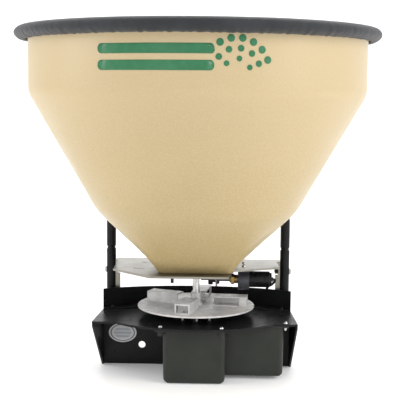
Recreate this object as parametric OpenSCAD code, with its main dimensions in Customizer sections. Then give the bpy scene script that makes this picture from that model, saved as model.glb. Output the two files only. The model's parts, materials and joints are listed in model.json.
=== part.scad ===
// Vehicle-mounted broadcast spreader: funnel hopper, electric gate, powered spinner disc.
// Millimetres, +Z up. The origin is on the spinner's axis, on the surface that the base stands on.
// The material is thrown towards -Y; the vehicle is on the +Y side.

/* [Base] */
// Height of the deck's top face
deck_z = 106; // [104:1:108]
// Thickness of the base sheet
sheet_t = 4; // [3:0.5:4]
// Half width of the deck at its front corners
deck_half_w = 189; // [184:1:190]
// How far the front corners stand in front of the axis
deck_front = 68; // [66:1:70]
// How far the rounded nose of the deck stands in front of the axis
nose_front = 124; // [120:1:128]
// Half width of the mounting panel
panel_half_w = 183; // [181:1:184]
// Height of the deflector wall at its ends
wall_h = 39; // [34:1:40]

/* [Panel mount] */
// Half the distance between the two bolt holes
panel_hole_x = 105.5; // [95:0.5:115]
// Height of the two bolt holes
panel_hole_z = 38; // [30:1:60]
// Diameter of the bolt holes
panel_hole_d = 13.5; // [9:0.5:14]

/* [Hopper] */
// Outside radius of the hopper's straight band
hopper_r = 310; // [300:1:312]
// Thickness of the moulded wall
hopper_wall = 5; // [4:0.5:6]
// Height of the shoulder between the band and the upper cone
shoulder_z = 524; // [515:1:530]
// Outside radius of the knuckle between the two cones
knuckle_r = 187; // [184:1:189]
// Height of the knuckle
knuckle_z = 309; // [306:1:312]
// Side of the square foot
foot_w = 134; // [130:1:138]
// Radius of the lip round the rim
lip_r = 326; // [322:1:328]

/* [Rain cover] */
// Outside radius of the fabric cover
cover_r = 335; // [334:1:338]
// Height of the top of the cover, which is the height of the whole object
cover_top = 643; // [642:1:645]
// Depth of the cover's band
cover_band = 25; // [20:1:30]

/* [Spinner] */
// Radius of the spinner disc
disc_r = 110; // [105:1:111]
// Height of the disc's top face
disc_z = 127; // [126:0.5:128]
// Height of the vanes
vane_h = 19; // [15:1:20]
// Diameter of the drive shaft
shaft_d = 12.7; // [12:0.1:12.8]

/* [Gate and actuator] */
// Height of the hopper plate's top face
plate_z = 197; // [197:0.5:197.5]
// Travel of the gate
gate_travel = 20; // [15:1:20]
// Height of the actuator's axis
act_z = 169; // [168:0.5:170]
// Distance of the actuator's axis behind the spinner's axis
act_y = 40; // [38:1:42]
// Outside diameter of the actuator's can
can_d = 31; // [28:1:31]

/* [Frame tubes] */
// Outside diameter of the upright tubes
tube_d = 18.5; // [17:0.5:19]
// Distance of each upright from the middle
leg_x = 171; // [171:0.5:173]
// Distance of the uprights behind the spinner's axis
leg_y = 86; // [85:0.5:87]

/* [Hidden] */
$fn = 64;

black_coat = "#1c1d1f";
stainless = "#a8a49a";
zinc = "#c9c9c6";
cast_grey = "#9b9a98";
poly_tan = "#dcc79a";
cover_grey = "#3b3d3a";

// Base sheet
deck_under = deck_z - sheet_t;
panel_y = 34;
panel_back = panel_y + sheet_t;
nose_half_w = 145;
nose_drop = nose_front - deck_front;
nose_r = (nose_half_w * nose_half_w + nose_drop * nose_drop) / (2 * nose_drop);
side_back = 182;
panel_foot = 26;

// Deflector wall: an arc from its ends to its middle behind the disc
wall_t = 3;
wall_end_x = 182;
wall_end_y = 44;
wall_mid_y = 118;
wall_rise = wall_mid_y - wall_end_y;
wall_r = (wall_end_x * wall_end_x + wall_rise * wall_rise) / (2 * wall_rise);
wall_cy = wall_mid_y - wall_r;
wall_sag = 6;
wall_sag_r = (wall_end_x * wall_end_x + wall_sag * wall_sag) / (2 * wall_sag);
wall_foot_w = 30;
wall_foot_t = 2.5;

// Uprights and hoop
tube_wall = 2;
foot_plate_t = 4;
leg_top = 217;
neck_h = 8;
bend_r = 20;
hoop_z = 294;
leg_reach = sqrt(leg_x * leg_x + leg_y * leg_y);
hoop_r = sqrt(leg_reach * leg_reach - bend_r * bend_r);
hoop_a = atan2(leg_y, leg_x) + atan2(bend_r, hoop_r);

// Hopper plate and its side legs
plate_t = 4;
plate_under = plate_z - plate_t;
side_leg_x = leg_x - tube_d / 2;
side_leg_t = 3.5;
side_leg_y = [77, 102];
side_leg_bottom = 140;
side_leg_lip = 9.25;
side_leg_lip_top = 171;
leg_bolt_z = 177;
leg_bolt_d = 6;
outlet_x = [-28, -9];
outlet_y = [15, 46];

// Gate
gate_gap = 0.4;
gate_t = 3;
gate_top = plate_under - gate_gap;
gate_x = [-30, 40];
gate_y = [12, 50];
tab_x = 36;
tab_w = 17;
rail_w = 2.4;
rod_d = 9.4;

// Hopper
foot_floor = 5;
foot_open = 96;
cone_slope = 0.976;
loft_z = 292;
loft_r = knuckle_r - cone_slope * (knuckle_z - loft_z);
band_top = 632;
lip_top = 636;
bolt_x = 42;
bolt_y = 57.5;

// Fastener sizes: [shank diameter, head diameter, head height]
m5_dome = [5, 8, 3.2];
m6_hex = [6, 11.5, 4.5];
m6_low = [6, 11, 3];

// Gearbox and motor under the deck
gear_y = -30;
gear_z = 48;
box_x = 45;
box_y = [-76, 28];
box_wall = 4;
box_floor = 12;
box_roof = 10;
motor_r = 27;
motor_x = [62, 150];
endcap_x = box_x;
motor_shaft_d = 8;
run_gap = 0.05;
bearing_z = [14, 92];
bearing_h = [8, 10];
bearing_r = 15;
wheel_teeth = 22;
wheel_r = 21.4;
worm_r = 8;

// Vanes: four channels, each with its web on the side that comes last round the disc
vane_angles = [-5.5, 82, 157, 257];
vane_x = [33, 97];
vane_w = 28;
vane_t = 2.5;
vane_tab = 14;
rivet_x = [46, 86];

// Actuator lead: hand-placed route from the can's end, over the wall, to the deck's grommet
lead_d = 5;
lead_route = [
    [144.2, 40, 169], [148.2, 40, 169], [150.5, 42.5, 167.5], [150, 49, 163], [147, 59, 157],
    [144, 70, 152], [140, 80, 148], [136.5, 89, 140], [135, 93, 130], [135, 94, 120], [135, 94, 112]
];
lead_steps = 4;
lead_sides = 10;

// A point on the smooth curve through a route, at step j of the stretch after point i
function route_point(p, i, j, n) =
    let (
        t = j / n,
        a = p[max(i - 1, 0)],
        b = p[i],
        c = p[i + 1],
        d = p[min(i + 2, len(p) - 1)]
    )
    0.5 * (2 * b + (c - a) * t + (2 * a - 5 * b + 4 * c - d) * t * t
        + (3 * b - a - 3 * c + d) * t * t * t);

// All the points of the smooth curve through a route
function smooth_route(p, n) = concat(
    [for (i = [0 : len(p) - 2]) for (j = [0 : n - 1]) route_point(p, i, j, n)],
    [p[len(p) - 1]]
);

function unit(v) = v / norm(v);

// One ring of a swept tube, square to the route at point i
function tube_ring(p, i, r, sides) =
    let (
        t = unit(p[min(i + 1, len(p) - 1)] - p[max(i - 1, 0)]),
        ref = unit([1, 0, 1]),
        u = unit(ref - t * (ref * t)),
        v = cross(t, u)
    )
    [for (k = [0 : sides - 1]) p[i] + r * (cos(360 * k / sides) * u + sin(360 * k / sides) * v)];

// A closed tube along the points p
module swept_tube(p, r, sides) {
    rings = len(p);
    points = [for (i = [0 : rings - 1]) each tube_ring(p, i, r, sides)];
    walls = [
        for (i = [0 : rings - 2]) for (k = [0 : sides - 1])
            let (a = i * sides + k, b = i * sides + (k + 1) % sides)
            [a, a + sides, b + sides, b]
    ];
    near_cap = [for (k = [0 : sides - 1]) k];
    far_cap = [for (k = [sides - 1 : -1 : 0]) (rings - 1) * sides + k];
    polyhedron(points = points, faces = concat(walls, [near_cap], [far_cap]), convexity = 4);
}

// The points of an arc that rounds the corner b between a and c
function corner_arc(a, b, c, r, n) =
    let (
        u = unit(a - b),
        v = unit(c - b),
        half = acos(u * v) / 2,
        centre = b + unit(u + v) * r / sin(half),
        p = b + u * r / tan(half) - centre,
        q = b + v * r / tan(half) - centre,
        turn = asin((p[0] * q[1] - p[1] * q[0]) / (r * r))
    )
    [for (i = [0 : n]) centre + rotate_2d(p, turn * i / n)];

function rotate_2d(p, a) = [p[0] * cos(a) - p[1] * sin(a), p[0] * sin(a) + p[1] * cos(a)];

// Corner b between a and c, moved inwards so that both its sides move by d
function inset_corner(a, b, c, d) =
    let (u = unit(a - b), v = unit(c - b), half = acos(u * v) / 2)
    b + unit(u + v) * d / sin(half);

module mirror_pair() {
    children();
    mirror([1, 0, 0]) children();
}

// A tube or ring along +Z
module ring(r_out, r_in, h) {
    difference() {
        cylinder(r = r_out, h = h);
        translate([0, 0, -1]) cylinder(r = r_in, h = h + 2);
    }
}

// A screw with a domed head: the head stands on z = 0, the shank points down
module dome_screw(size, length) {
    dome_r = (size[1] * size[1] / 4 + size[2] * size[2]) / (2 * size[2]);
    intersection() {
        cylinder(d = size[1], h = size[2]);
        translate([0, 0, size[2] - dome_r]) sphere(r = dome_r);
    }
    translate([0, 0, -length]) cylinder(d = size[0], h = length);
}

// A hexagon bolt: the head stands on z = 0, the shank points down
module hex_bolt(size, length) {
    cylinder(d = size[1], h = size[2], $fn = 6);
    translate([0, 0, -length]) cylinder(d = size[0], h = length);
}

// A hexagon nut standing on z = 0
module hex_nut(size) {
    difference() {
        cylinder(d = size[1], h = size[2], $fn = 6);
        translate([0, 0, -1]) cylinder(d = size[0], h = size[2] + 2);
    }
}

/* Base */

boss_screw_at = [[-60, -102], [50, -107]];
nut_screw_at = [[167, -58], [-63, -8]];
cover_screw_at = concat(boss_screw_at, nut_screw_at);
gearbox_bolt_at = [[-22, -61], [4, -67], [27, -60], [-36, 19], [36, 19]];
wall_screw_at = [[165, 54], [62, 95]];
foot_bolt_at = [[0, -15], [0, 15]];
gland_at = [100, 80];
stud_d = 4.5;
stud_nut = [stud_d, 9, 3.5];
grommet_r = 8;

module deck_outline() {
    polygon([
        [-deck_half_w, -deck_front], [deck_half_w, -deck_front],
        [side_back, wall_end_y], [side_back, 112], [152, 134],
        [-152, 134], [-side_back, 112], [-side_back, wall_end_y]
    ]);
    intersection() {
        translate([0, nose_r - nose_front]) circle(r = nose_r, $fn = 180);
        translate([-nose_half_w, -nose_front - 1]) square([2 * nose_half_w, nose_drop + 2]);
    }
}

module base_deck() {
    color(black_coat)
    difference() {
        translate([0, 0, deck_under]) linear_extrude(sheet_t) deck_outline();
        translate([0, 0, deck_under - 1]) {
            cylinder(r = 17, h = sheet_t + 2);
            for (p = cover_screw_at) translate(p) cylinder(d = m5_dome[0], h = sheet_t + 2);
            for (p = gearbox_bolt_at) translate(p) cylinder(d = stud_d, h = sheet_t + 2);
            mirror_pair()
                for (p = foot_bolt_at)
                    translate([leg_x + p[0], leg_y + p[1]]) cylinder(d = 6, h = sheet_t + 2);
            mirror_pair()
                for (p = wall_screw_at) translate(p) cylinder(d = m5_dome[0], h = sheet_t + 2);
            translate([135, 94]) cylinder(r = grommet_r - 2, h = sheet_t + 2);
        }
    }
}

module mounting_panel() {
    color(black_coat)
    difference() {
        union() {
            translate([-panel_half_w, panel_y, 0]) cube([2 * panel_half_w, sheet_t, deck_under]);
            translate([-panel_half_w, panel_y, 0])
                cube([2 * panel_half_w, sheet_t + panel_foot, sheet_t]);
        }
        mirror_pair()
            translate([panel_hole_x, panel_back + 1, panel_hole_z]) rotate([90, 0, 0])
                cylinder(d = panel_hole_d, h = sheet_t + 2);
        translate([gland_at[0], panel_back + 1, gland_at[1]]) rotate([90, 0, 0])
            cylinder(d = 16, h = sheet_t + 2);
    }
}

module gusset() {
    side_run = panel_y + deck_front;
    side_step = deck_half_w - panel_half_w;
    skew = atan2(side_step, side_run);
    run = side_run / cos(skew) - 0.2;
    color(black_coat)
    translate([deck_half_w, -deck_front, 0]) rotate([0, 0, 90 + skew])
        rotate([90, 0, 0]) translate([0, 0, -sheet_t]) linear_extrude(sheet_t)
            polygon([[0.2, deck_under - 6], [0.2, deck_under], [run, deck_under], [run, 0], [run - 6, 0]]);
}

module gusset_right() {
    gusset();
}

module gusset_left() {
    mirror([1, 0, 0]) gusset();
}

module wall_ring(r_out, r_in, h) {
    translate([0, wall_cy, deck_z]) difference() {
        cylinder(r = r_out, h = h, $fn = 180);
        translate([0, 0, -1]) cylinder(r = r_in, h = h + 2, $fn = 180);
    }
}

module deflector_wall() {
    color(black_coat)
    difference() {
        intersection() {
            union() {
                wall_ring(wall_r + wall_t, wall_r, wall_h);
                wall_ring(wall_r + 1, wall_r - wall_foot_w, wall_foot_t);
            }
            translate([-wall_end_x, wall_end_y, deck_z]) cube([2 * wall_end_x, 100, wall_h]);
        }
        translate([0, wall_cy, deck_z + wall_h - wall_sag + wall_sag_r]) rotate([-90, 0, 0])
            cylinder(r = wall_sag_r, h = 400, $fn = 180);
        mirror_pair()
            for (p = wall_screw_at) translate([p[0], p[1], deck_z - 1])
                cylinder(d = m5_dome[0], h = wall_foot_t + 2);
    }
}

module wall_screws() {
    color("#2a2a2c")
    mirror_pair()
        for (p = wall_screw_at)
            translate([p[0], p[1], deck_z + wall_foot_t]) dome_screw(m5_dome, wall_foot_t + sheet_t + 4);
}

/* Uprights, hoop and hopper plate */

module upright() {
    color(black_coat)
    difference() {
        union() {
            translate([leg_x, leg_y, deck_z]) cylinder(d = tube_d, h = leg_top - deck_z);
            translate([leg_x - 9.5, leg_y - 19, deck_z]) cube([19, 39, foot_plate_t]);
        }
        translate([leg_x, leg_y, deck_z - 1])
            cylinder(d = tube_d - 2 * tube_wall, h = leg_top - deck_z + 2);
        for (p = foot_bolt_at)
            translate([leg_x + p[0], leg_y + p[1], deck_z - 1]) cylinder(d = 6, h = foot_plate_t + 2);
        translate([leg_x, leg_y, leg_bolt_z]) rotate([0, 90, 0])
            cylinder(d = leg_bolt_d, h = 2 * tube_d, center = true);
    }
}

module leg_right() {
    upright();
}

module leg_left() {
    mirror([1, 0, 0]) upright();
}

module leg_foot_bolts() {
    color(zinc)
    mirror_pair()
        for (p = foot_bolt_at)
            translate([leg_x + p[0], leg_y + p[1], deck_z + foot_plate_t])
                hex_bolt([6, 10, 4], foot_plate_t + sheet_t);
}

// The centre line of the hoop's right half: up the straight leg, round the bend, along the arc
function hoop_half(arc_n, bend_n) = concat(
    [[leg_x, leg_y, leg_top + neck_h - 0.2]],
    [for (i = [0 : bend_n - 1]) let (f = 90 * i / bend_n) [
        leg_x - bend_r * (1 - cos(f)) * sin(hoop_a),
        leg_y + bend_r * (1 - cos(f)) * cos(hoop_a),
        hoop_z - bend_r + bend_r * sin(f)
    ]],
    [for (i = [0 : arc_n]) let (f = hoop_a + (90 - hoop_a) * i / arc_n)
        [hoop_r * cos(f), hoop_r * sin(f), hoop_z]]
);

module cradle_hoop() {
    half = hoop_half(20, 8);
    last = len(half) - 2;
    other = [for (i = [last : -1 : 0]) [-half[i][0], half[i][1], half[i][2]]];
    color(black_coat)
    union() {
        swept_tube(concat(half, other), tube_d / 2, 24);
        mirror_pair() translate([leg_x, leg_y, leg_top]) {
            cylinder(d1 = tube_d, d2 = tube_d - 3, h = neck_h / 2);
            translate([0, 0, neck_h / 2]) cylinder(d1 = tube_d - 3, d2 = tube_d - 1, h = neck_h / 2 + 1.6);
            translate([0, 0, -20]) cylinder(d = tube_d - 2 * tube_wall, h = 21);
        }
    }
}

module plate_outline() {
    polygon([
        [-157, 105], [-155, -22], [-81, -97], [62, -95],
        [70, -22], [158, 18], [153, 103]
    ]);
    translate([-side_leg_x, side_leg_y[0]])
        square([2 * side_leg_x, side_leg_y[1] - side_leg_y[0]]);
}

module hopper_plate() {
    leg_h = plate_under - side_leg_bottom + 1;
    color(stainless)
    difference() {
        union() {
            translate([0, 0, plate_under]) linear_extrude(plate_t) plate_outline();
            mirror_pair()
                translate([side_leg_x - side_leg_t, side_leg_y[0], side_leg_bottom])
                    cube([side_leg_t, side_leg_y[1] - side_leg_y[0], leg_h]);
            mirror_pair()
                translate([side_leg_x - side_leg_lip, side_leg_y[0], side_leg_bottom])
                    cube([side_leg_lip, side_leg_t, side_leg_lip_top - side_leg_bottom]);
        }
        translate([outlet_x[0], outlet_y[0], plate_under - 1])
            cube([outlet_x[1] - outlet_x[0], outlet_y[1] - outlet_y[0], plate_t + 2]);
        translate([0, 0, plate_under - 1]) {
            cylinder(r = 10, h = plate_t + 2);
            for (x = [-bolt_x, bolt_x]) for (y = [-bolt_y, bolt_y])
                translate([x, y]) cylinder(d = m6_hex[0], h = plate_t + 2);
            for (y = [bracket_bolt_y, 2 * act_y - bracket_bolt_y])
                translate([bracket_bolt_x, y]) cylinder(d = 5, h = plate_t + 2);
            translate([-118, -17]) cube([21, 5, plate_t + 2]);
            translate([-108, 50]) cube([10, 5, plate_t + 2]);
        }
        mirror_pair()
            translate([side_leg_x, leg_y, leg_bolt_z]) rotate([0, 90, 0])
                cylinder(d = leg_bolt_d, h = 4 * plate_t, center = true);
    }
}

tube_outer = leg_x + tube_d / 2;
leg_washer_t = 1;
leg_nut_t = 6;

module leg_washers() {
    color(zinc)
    mirror_pair()
        translate([tube_outer, leg_y, leg_bolt_z]) rotate([0, 90, 0])
            ring(6.5, leg_bolt_d / 2, leg_washer_t);
}

module leg_bolts() {
    head_x = tube_outer + leg_washer_t;
    nut_x = side_leg_x - side_leg_t - leg_nut_t;
    color(zinc)
    mirror_pair()
        translate([head_x, leg_y, leg_bolt_z]) rotate([0, 90, 0])
            hex_bolt(m6_low, head_x - nut_x + 1.5);
}

module leg_nuts() {
    color("#2a2a2c")
    mirror_pair()
        translate([side_leg_x - side_leg_t - leg_nut_t, leg_y, leg_bolt_z]) rotate([0, 90, 0])
            hex_nut([leg_bolt_d, 11, leg_nut_t]);
}

/* Hopper */

// Outline of one side of the moulded wall, from the loft up to the band's top, moved in by d
function hopper_side(d) =
    let (
        low = [loft_r, loft_z],
        knuckle = [knuckle_r, knuckle_z],
        shoulder = [hopper_r, shoulder_z],
        top = [hopper_r, band_top],
        drop = d * sqrt(1 + cone_slope * cone_slope),
        low_in = [loft_r - drop, loft_z],
        knuckle_in = inset_corner(low, knuckle, shoulder, d),
        shoulder_in = inset_corner(knuckle, shoulder, top, d),
        top_in = [hopper_r - d, band_top]
    )
    concat(
        [low_in],
        corner_arc(low_in, knuckle_in, shoulder_in, 90 - d, 8),
        corner_arc(knuckle_in, shoulder_in, top_in, 42 - d, 8),
        [top_in]
    );

// The loft from the round cone to the square foot
module foot_loft(r_top, z_top, w, z_bottom, corner_r) {
    reach = w / 2 - corner_r;
    hull() {
        translate([0, 0, z_top - 0.1]) cylinder(r = r_top, h = 0.1, $fn = 96);
        for (x = [-reach, reach]) for (y = [-reach, reach])
            translate([x, y, z_bottom]) cylinder(r = corner_r, h = 0.1, $fn = 24);
    }
}

module hopper() {
    wall_drop = hopper_wall * sqrt(1 + cone_slope * cone_slope);
    inner_w = foot_w - 2 * hopper_wall;
    color(poly_tan)
    difference() {
        union() {
            rotate_extrude($fn = 180)
                polygon(concat([[0, loft_z]], hopper_side(0), [[0, band_top]]));
            foot_loft(loft_r, loft_z, foot_w, plate_z, 14);
            translate([0, 0, band_top - 8]) cylinder(r = lip_r - 4, h = 8 + lip_top - band_top, $fn = 180);
            translate([0, 0, lip_top - 6])
                rotate_extrude($fn = 180) translate([lip_r - 6, 0]) circle(r = 6);
        }
        rotate_extrude($fn = 180)
            polygon(concat([[0, loft_z]], hopper_side(hopper_wall), [[0, band_top]]));
        translate([0, 0, band_top - 1])
            cylinder(r = hopper_r - hopper_wall, h = lip_top - band_top + 2, $fn = 180);
        foot_loft(loft_r - wall_drop, loft_z + 0.1, inner_w, plate_z + foot_floor, 10);
        translate([-foot_open / 2, -foot_open / 2, plate_z - 1])
            cube([foot_open, foot_open, foot_floor + 2]);
        for (x = [-bolt_x, bolt_x]) for (y = [-bolt_y, bolt_y])
            translate([x, y, plate_z - 1]) cylinder(d = m6_hex[0], h = foot_floor + 2);
    }
}

module hopper_bolts() {
    shank = foot_floor + plate_t + 15;
    color("#2a2a2c")
    for (x = [-bolt_x, bolt_x]) for (y = [-bolt_y, bolt_y])
        translate([x, y, plate_z + foot_floor]) dome_screw([6, 8.5, 3.5], shank);
}

module hopper_nuts() {
    color("#2a2a2c")
    for (x = [-bolt_x, bolt_x]) for (y = [-bolt_y, bolt_y])
        translate([x, y, plate_under - m6_hex[2]]) hex_nut([6, 10, m6_hex[2]]);
}

module hopper_decal() {
    color("#2f7a4f")
    translate([0, 0, 552]) rotate(-119) rotate_extrude(angle = 51, $fn = 180)
        translate([hopper_r, 0]) square([0.5, 62]);
}

module rain_cover() {
    inner_r = lip_r + 1.5;
    edge_r = 10;
    color("#46494d")
    difference() {
        rotate_extrude($fn = 180) union() {
            translate([0, cover_top - cover_band]) square([cover_r, cover_band - edge_r]);
            translate([0, cover_top - edge_r]) square([cover_r - edge_r, edge_r]);
            translate([cover_r - edge_r, cover_top - edge_r]) circle(r = edge_r);
        }
        translate([0, 0, cover_top - cover_band - 1])
            cylinder(r = inner_r, h = lip_top + 2.5 - cover_top + cover_band, $fn = 180);
        translate([0, 0, cover_top - cover_band + 4])
            rotate_extrude($fn = 180) translate([inner_r + 4, 0]) circle(r = 1.8, $fn = 24);
    }
}

module hem_elastic() {
    color("#222222")
    translate([0, 0, cover_top - cover_band + 4])
        rotate_extrude($fn = 180) translate([lip_r + 5.5, 0]) circle(r = 1.7, $fn = 24);
}

/* Spinner */

disc_t = 3;
hub_top = 150;
hub_r = 10;
set_screw_z = 12;
set_screw_a = -15;

module drive_shaft() {
    color(zinc)
    translate([0, 0, 14.5]) cylinder(d = shaft_d, h = 262 - 14.5);
}

module spinner_disc() {
    color(cast_grey)
    translate([0, 0, disc_z - disc_t]) difference() {
        cylinder(r = disc_r, h = disc_t, $fn = 128);
        translate([0, 0, -1]) cylinder(d = shaft_d, h = disc_t + 2);
        for (a = vane_angles) rotate(a) for (x = rivet_x)
            translate([x, 0, -1]) cylinder(d = 4, h = disc_t + 2);
    }
}

module spinner_hub() {
    color(cast_grey)
    translate([0, 0, disc_z]) difference() {
        union() {
            cylinder(r = hub_r, h = hub_top - disc_z);
            cylinder(r = hub_r + 2.6, h = 4);
        }
        translate([0, 0, -1]) cylinder(d = shaft_d, h = hub_top - disc_z + 2);
        translate([0, 0, set_screw_z]) rotate(set_screw_a) rotate([0, 90, 0]) cylinder(d = 5, h = 20);
    }
}

module hub_set_screw() {
    color(zinc)
    translate([0, 0, disc_z + set_screw_z]) rotate(set_screw_a) rotate([0, 90, 0])
        translate([0, 0, shaft_d / 2]) cylinder(d = 5, h = hub_r - shaft_d / 2 + 3.5);
}

// One vane: a web, a flange at its top, a foot that is riveted down, and a tab at its outer end
module vane(a) {
    length = vane_x[1] - vane_x[0];
    color(cast_grey)
    rotate(a) translate([vane_x[0], -vane_w / 2, disc_z]) difference() {
        union() {
            cube([length, vane_w, vane_t]);
            translate([0, 0, vane_h - vane_t]) cube([length, vane_w, vane_t]);
            translate([0, vane_w - vane_t, 0]) cube([length, vane_t, vane_h]);
            translate([length - vane_tab, 0, 0]) cube([vane_tab, vane_t, vane_h]);
        }
        for (x = rivet_x) translate([x - vane_x[0], vane_w / 2, -1]) cylinder(d = 4, h = vane_t + 2);
    }
}

module spinner_vane_1() {
    vane(vane_angles[0]);
}

module spinner_vane_2() {
    vane(vane_angles[1]);
}

module spinner_vane_3() {
    vane(vane_angles[2]);
}

module spinner_vane_4() {
    vane(vane_angles[3]);
}

module vane_rivets() {
    color(zinc)
    for (a = vane_angles) rotate(a) for (x = rivet_x)
        translate([x, 0, disc_z + vane_t]) dome_screw([4, 7, 2], vane_t + disc_t);
}

module agitator() {
    color(zinc)
    translate([0, 0, 232]) difference() {
        union() {
            cylinder(r = 11, h = 20);
            for (a = [0, 180]) rotate(a + 20) translate([9, 0, 10]) rotate([0, 70, 0])
                cylinder(d = 6, h = 48);
        }
        translate([0, 0, -1]) cylinder(d = shaft_d, h = 22);
    }
}

module worm_wheel() {
    tooth_w = 3;
    color("#b08d4a")
    translate([0, 0, gear_z - 8]) difference() {
        union() {
            cylinder(r = wheel_r - 3.5, h = 16);
            cylinder(r = 13, h = 24);
            for (i = [0 : wheel_teeth - 1]) rotate(i * 360 / wheel_teeth)
                translate([wheel_r - 5, -tooth_w / 2, 1]) cube([5, tooth_w, 14]);
        }
        translate([0, 0, -1]) cylinder(d = shaft_d, h = 26);
    }
}

/* Gate and its actuator */

bracket_bolt_x = 90;
bracket_bolt_y = 57;

module gate_plate() {
    color(stainless)
    difference() {
        union() {
            translate([gate_x[0], gate_y[0], gate_top - gate_t])
                cube([gate_x[1] - gate_x[0], gate_y[1] - gate_y[0], gate_t]);
            translate([tab_x, act_y + 7.5 - tab_w, act_z - 13])
                cube([gate_x[1] - tab_x, tab_w, gate_top - gate_t - act_z + 14]);
        }
        translate([tab_x - 1, act_y, act_z]) rotate([0, 90, 0]) cylinder(d = 6.6, h = 6);
    }
}

module gate_guides() {
    length = 110;
    ledge_t = 2.5;
    drop = gate_gap + gate_t + 0.4;
    rail_x = gate_x[0] - 8;
    color(stainless)
    for (side = [0, 1])
        translate([rail_x, (gate_y[0] + gate_y[1]) / 2, plate_under]) mirror([0, side, 0]) {
            inner = (gate_y[1] - gate_y[0]) / 2 + 0.4;
            translate([0, inner, -drop]) cube([length, rail_w, drop]);
            translate([0, inner - 1.9, -drop - ledge_t]) cube([length, rail_w + 1.9, ledge_t]);
        }
}

module gate_rod() {
    rod_end = 104;
    color("#2c2c2e")
    translate([0, act_y, act_z]) rotate([0, 90, 0]) union() {
        translate([0, 0, gate_x[1]]) cylinder(d = rod_d, h = rod_end - gate_x[1]);
        translate([0, 0, 8]) cylinder(d = 6.6, h = gate_x[1] - 8);
    }
}

module rod_nuts() {
    color("#232325")
    translate([tab_x, act_y, act_z]) rotate([0, -90, 0]) difference() {
        union() {
            cylinder(d = 15, h = 5, $fn = 6);
            translate([0, 0, 5]) cylinder(d = 23, h = 9);
        }
        translate([0, 0, -1]) cylinder(d = 6.6, h = 17);
    }
}

// Lengths along X of the actuator's three pieces
nose_x = [63, 79];
collar_x = [79, 101];
collar_r = 20;
collar_drop = 0.5;
can_end = 144;
plunger_bore = 10;

module along_x(x, y, z) {
    translate([x, y, z]) rotate([0, 90, 0]) children();
}

module actuator_nose() {
    color("#8a6a3a")
    along_x(nose_x[0], act_y, act_z) difference() {
        union() {
            cylinder(d = 15, h = 3);
            translate([0, 0, 3]) cylinder(d = 21, h = 6, $fn = 6);
            translate([0, 0, 9]) cylinder(d = 17, h = nose_x[1] - nose_x[0] - 9);
        }
        translate([0, 0, -1]) cylinder(d = plunger_bore, h = 20);
    }
}

module actuator_collar() {
    length = collar_x[1] - collar_x[0];
    color("#55585c")
    difference() {
        union() {
            along_x(collar_x[0], act_y, act_z - collar_drop) cylinder(r = collar_r, h = length);
            translate([collar_x[0], act_y - 12, act_z]) cube([length, 24, plate_under - act_z]);
            translate([collar_x[0], act_y - 23, plate_under - 4]) cube([length, 46, 4]);
        }
        along_x(collar_x[0] - 1, act_y, act_z) cylinder(d = plunger_bore, h = length + 2);
        for (y = [bracket_bolt_y, 2 * act_y - bracket_bolt_y])
            translate([bracket_bolt_x, y, plate_under - 5]) cylinder(d = 5, h = 6);
    }
}

module bracket_bolts() {
    color(zinc)
    for (y = [bracket_bolt_y, 2 * act_y - bracket_bolt_y])
        translate([bracket_bolt_x, y, plate_z]) dome_screw(m5_dome, plate_t + 4);
}

module actuator_can() {
    color("#202123")
    along_x(collar_x[1], act_y, act_z) difference() {
        union() {
            cylinder(d = can_d, h = can_end - collar_x[1] - 4);
            cylinder(d = can_d - 5, h = can_end - collar_x[1]);
            cylinder(d = 9, h = can_end - collar_x[1] + 3);
        }
        translate([0, 0, -1]) cylinder(d = plunger_bore, h = 32);
        translate([0, 0, can_end - collar_x[1]]) cylinder(d = lead_d + 0.4, h = 5);
    }
}

module actuator_lead() {
    color("#151515") swept_tube(smooth_route(lead_route, lead_steps), lead_d / 2, lead_sides);
}

module lead_grommet() {
    color("#151515")
    translate([135, 94, deck_under - 2]) difference() {
        union() {
            cylinder(r = grommet_r, h = 2);
            cylinder(r = grommet_r - 2, h = sheet_t + 4);
            translate([0, 0, sheet_t + 2]) cylinder(r = grommet_r, h = 2);
            translate([0, 0, sheet_t + 4]) cylinder(r = grommet_r - 3, h = 2);
        }
        translate([0, 0, -1]) cylinder(d = lead_d - 1, h = 20);
    }
}

module shaft_bush() {
    color("#d8d5c8")
    translate([0, 0, plate_under]) difference() {
        union() {
            cylinder(r = 10, h = plate_t);
            translate([0, 0, plate_t]) cylinder(r = 13, h = 6);
        }
        translate([0, 0, -1]) cylinder(r = shaft_d / 2 + run_gap, h = 20);
    }
}

/* Gearbox and motor */

module gearbox_housing() {
    depth = box_y[1] - box_y[0];
    inner_x = box_x - box_wall;
    color("#8c8e90")
    difference() {
        translate([-box_x, box_y[0], box_floor]) cube([2 * box_x, depth, deck_under - box_floor]);
        translate([-inner_x, box_y[0] + box_wall, box_floor - 1])
            cube([2 * inner_x, depth - 2 * box_wall, deck_under - box_roof - box_floor + 1]);
        translate([0, 0, bearing_z[1]]) cylinder(r = bearing_r, h = box_roof + 1);
        for (p = gearbox_bolt_at) translate([p[0], p[1], deck_under - 8])
            cylinder(d = stud_d, h = 9);
        along_x(0, gear_y, gear_z) cylinder(r = 7, h = box_x + 1);
    }
}

module gearbox_lid() {
    depth = box_y[1] - box_y[0];
    color("#8c8e90")
    difference() {
        union() {
            translate([-box_x, box_y[0], 6]) cube([2 * box_x, depth, box_floor - 6]);
            cylinder(r = bearing_r + 4, h = 16);
            translate([0, 0, 6]) cylinder(r = bearing_r + 4, h = 16);
        }
        translate([0, 0, -1]) cylinder(r = bearing_r + 5, h = 7);
        translate([0, 0, bearing_z[0]]) cylinder(r = bearing_r, h = 20);
    }
}

module gearbox_bolts() {
    low = deck_under - 8;
    shank = sheet_t + 16;
    color(zinc)
    for (p = gearbox_bolt_at) translate([p[0], p[1], low]) {
        cylinder(d = stud_d, h = shank);
        translate([0, 0, shank]) cylinder(d1 = stud_d, d2 = 1, h = 2.5);
    }
}

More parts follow.
